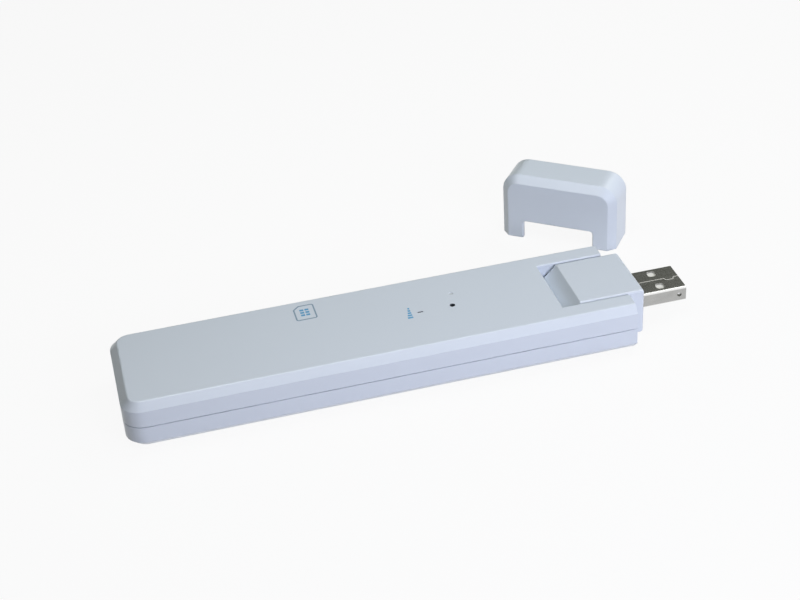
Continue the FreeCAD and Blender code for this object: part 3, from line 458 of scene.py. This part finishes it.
def card_mark():
    """A plain card beside its socket, in outline, with two columns of three contacts."""
    low = (CARD_SOCKET.x - CARD_WIDTH / 2, FAR_SIDE - CARD_INSET - CARD_HEIGHT)
    high = (CARD_SOCKET.x + CARD_WIDTH / 2, FAR_SIDE - CARD_INSET)
    inner_low = [value + CARD_LINE for value in low]
    inner_high = [value - CARD_LINE for value in high]
    inner_cut = CARD_CUT - CARD_LINE * (2 - math.sqrt(2))  # the line is as wide there as on the sides
    outer = card_outline(low, high, CARD_CUT, CARD_ROUND)
    inner = card_outline(inner_low, inner_high, inner_cut, CARD_ROUND - CARD_LINE)
    ink_piece("card_line", slate_ink, [(outer, inner)])
    contacts = []
    for row in (-1, 0, 1):
        for side in (-1, 1):
            x = (low[0] + high[0] + side * CONTACT_STEP_X) / 2
            y = (low[1] + high[1]) / 2 + row * CONTACT_STEP_Y
            contacts.append((block(x - CONTACT_WIDTH / 2, x + CONTACT_WIDTH / 2,
                                   y - CONTACT_HEIGHT / 2, y + CONTACT_HEIGHT / 2), None))
    ink_piece("card_contacts", blue_ink, contacts)


BARS = 5
BARS_FOOT = SMALL_WINDOW.x - 2.5 * MM  # X of the line that the bars stand on
BARS_START = SMALL_WINDOW.y + 2.55 * MM  # Y of the shortest bar
BARS_STEP = 1.1 * MM
BAR_WIDTH = 0.72 * MM
BAR_SHORTEST = 0.5 * MM
BAR_RISE = 0.25 * MM


def signal_mark():
    """Rising bars beside the small window."""
    bars = []
    for number in range(BARS):
        y = BARS_START - BARS_STEP * number
        height = BAR_SHORTEST + BAR_RISE * number
        bars.append((block(BARS_FOOT - height, BARS_FOOT, y - BAR_WIDTH / 2, y + BAR_WIDTH / 2), None))
    ink_piece("signal_mark", blue_ink, bars)


# Studio

SKY_COLOUR = (0.90, 0.95, 1.0)
SKY_STRENGTH = 0.01


def background(nodes, colour, strength):
    node = nodes.new("ShaderNodeBackground")
    node.inputs["Color"].default_value = (*colour, 1.0)
    node.inputs["Strength"].default_value = strength
    return node.outputs[0]


def white_room():
    """The world: plain white to the eye and in reflections, and a faint light on what is matt."""
    world = bpy.data.worlds.new("studio")
    world.use_nodes = True
    scene.world = world
    nodes = world.node_tree.nodes
    links = world.node_tree.links
    nodes.clear()
    rays = nodes.new("ShaderNodeLightPath").outputs
    seen = rays["Is Camera Ray"]
    for other in ("Is Glossy Ray", "Is Transmission Ray"):
        either = nodes.new("ShaderNodeMath")
        either.operation = "MAXIMUM"
        links.new(seen, either.inputs[0])
        links.new(rays[other], either.inputs[1])
        seen = either.outputs[0]
    mix = nodes.new("ShaderNodeMixShader")
    links.new(seen, mix.inputs[0])
    links.new(background(nodes, SKY_COLOUR, SKY_STRENGTH), mix.inputs[1])
    links.new(background(nodes, WHITE, 1.0), mix.inputs[2])
    links.new(mix.outputs[0], nodes.new("ShaderNodeOutputWorld").inputs[0])


FLOOR_RADIUS = 2.5
FLOOR_SIDES = 96
FLOOR_GAP = 0.02 * MM  # so that the floor and the underside aren't one plane
FLOOR_GLOW = 0.92  # what the eye sees of the floor's own white, besides the light that falls on it
FLOOR_PATCH = 0.3


def pale_floor():
    """A round white floor that keeps a faint shadow."""
    finish = Finish("floor_white", Roughness=0.9)
    patches = finish.ranged(finish.noise(FLOOR_PATCH), 0, 1)
    finish.colour(finish.mixed(patches, (0.66, 0.66, 0.66), (0.64, 0.64, 0.65)))
    rays = finish.add("LightPath").outputs
    seen = finish.worked("MAXIMUM", rays["Is Camera Ray"], rays["Is Glossy Ray"])
    share = finish.worked("MULTIPLY", seen, FLOOR_GLOW)
    lit = finish.shader.outputs[0]
    glow = finish.glow((*WHITE, 1.0))
    finish.surface(finish.add("MixShader", [(0, share), (1, lit), (2, glow)]).outputs[0])
    mesh = bmesh.new()
    bmesh.ops.create_circle(mesh, cap_ends=True, segments=FLOOR_SIDES, radius=FLOOR_RADIUS)
    floor = placed(mesh, "floor", finish)
    floor.location.z = -FLOOR_GAP


LOOK_AT = Vector((10, 5, 8)) * MM  # what the lamps face


def direction(azimuth, elevation):
    """Unit vector from the object towards a lamp; azimuth 0 is the front, 90 the plug's side."""
    turn = math.radians(azimuth)
    rise = math.radians(elevation)
    return Vector((math.sin(turn) * math.cos(rise), -math.cos(turn) * math.cos(rise), math.sin(rise)))


def soft_lamp(name, azimuth, elevation, distance, size, watts, colour, mirrored=True):
    """A rectangular lamp that faces the object. Not mirrored, it leaves no glare on glossy faces."""
    lamp = bpy.data.lights.new(name, "AREA")
    lamp.shape = "RECTANGLE"
    lamp.size, lamp.size_y = size
    lamp.energy = watts
    lamp.color = colour
    holder = bpy.data.objects.new(name, lamp)
    towards = direction(azimuth, elevation)
    holder.location = LOOK_AT + towards * distance
    holder.rotation_mode = "QUATERNION"
    holder.rotation_quaternion = towards.to_track_quat("Z", "Y")
    holder.visible_camera = False
    holder.visible_glossy = mirrored
    scene.collection.objects.link(holder)


def soft_lamps():
    soft_lamp("top_lamp", azimuth=0, elevation=88, distance=0.30, size=(0.25, 0.20), watts=0.32,
              colour=(0.95, 1.0, 0.97))
    soft_lamp("left_lamp", azimuth=-90, elevation=70, distance=0.30, size=(0.25, 0.20), watts=0.13,
              colour=(1.02, 1.0, 0.91))
    soft_lamp("front_lamp", azimuth=23, elevation=24, distance=0.40, size=(0.25, 0.14), watts=0.99,
              colour=(0.98, 0.985, 1.14), mirrored=False)
    soft_lamp("right_lamp", azimuth=115, elevation=42, distance=0.45, size=(0.25, 0.20), watts=0.55,
              colour=(1.0, 1.02, 0.97))


SCREEN_RADIUS = 0.5
SCREEN_HEIGHT = 0.45
SCREEN_START, SCREEN_END = 130, 285  # degrees round the object, as for a lamp
SCREEN_STEPS = 30
SCREEN_PATCH = 0.05


def dark_screen():
    """A dark curved screen behind and left of the object that only reflections see."""
    mesh = bmesh.new()
    feet = []
    heads = []
    for step in range(SCREEN_STEPS + 1):
        azimuth = SCREEN_START + (SCREEN_END - SCREEN_START) * step / SCREEN_STEPS
        place = LOOK_AT + direction(azimuth, 0) * SCREEN_RADIUS
        feet.append(mesh.verts.new((place.x, place.y, 0)))
        heads.append(mesh.verts.new((place.x, place.y, SCREEN_HEIGHT)))
    for index in range(SCREEN_STEPS):
        mesh.faces.new((feet[index], feet[index + 1], heads[index + 1], heads[index]))
    finish = Finish("screen_cloth")
    tint = finish.mixed(finish.noise(SCREEN_PATCH), (0.115, 0.12, 0.10), (0.145, 0.15, 0.125))
    finish.surface(finish.glow(tint))
    screen = placed(mesh, "dark_screen", finish)
    screen.visible_camera = False
    screen.visible_diffuse = False
    screen.visible_shadow = False
    screen.visible_transmission = False


# Camera

CAMERA_PLACE = Vector((-68.0, -351.022, 256.187)) * MM
CAMERA_HEADING = math.radians(12.28)  # from +Y towards +X
CAMERA_DIP = math.radians(33.42)
CAMERA_ROLL = math.radians(-4.05)
FOCAL_PIXELS = 1586.93
IMAGE_WIDTH = 800
SENSOR = 36.0  # mm, as the lens is given


def photo_camera():
    """The camera where the photograph was taken from, as fitted to the plug and the casing."""
    ahead = Vector((math.sin(CAMERA_HEADING) * math.cos(CAMERA_DIP),
                    math.cos(CAMERA_HEADING) * math.cos(CAMERA_DIP),
                    -math.sin(CAMERA_DIP)))
    level = Vector((math.cos(CAMERA_HEADING), -math.sin(CAMERA_HEADING), 0))
    upwards = level.cross(ahead)
    right = level * math.cos(CAMERA_ROLL) + upwards * math.sin(CAMERA_ROLL)
    top = upwards * math.cos(CAMERA_ROLL) - level * math.sin(CAMERA_ROLL)
    data = bpy.data.cameras.new("camera")
    data.sensor_width = SENSOR
    data.lens = FOCAL_PIXELS * SENSOR / IMAGE_WIDTH
    data.clip_start = 10 * MM
    data.clip_end = 20
    camera = bpy.data.objects.new("camera", data)
    turned = Matrix((right, top, -ahead)).transposed().to_4x4()
    camera.matrix_world = Matrix.Translation(CAMERA_PLACE) @ turned
    scene.collection.objects.link(camera)
    scene.camera = camera


scene.view_settings.view_transform = "Standard"
dress_cad_nodes()
card_mark()
signal_mark()
white_room()
pale_floor()
soft_lamps()
dark_screen()
photo_camera()
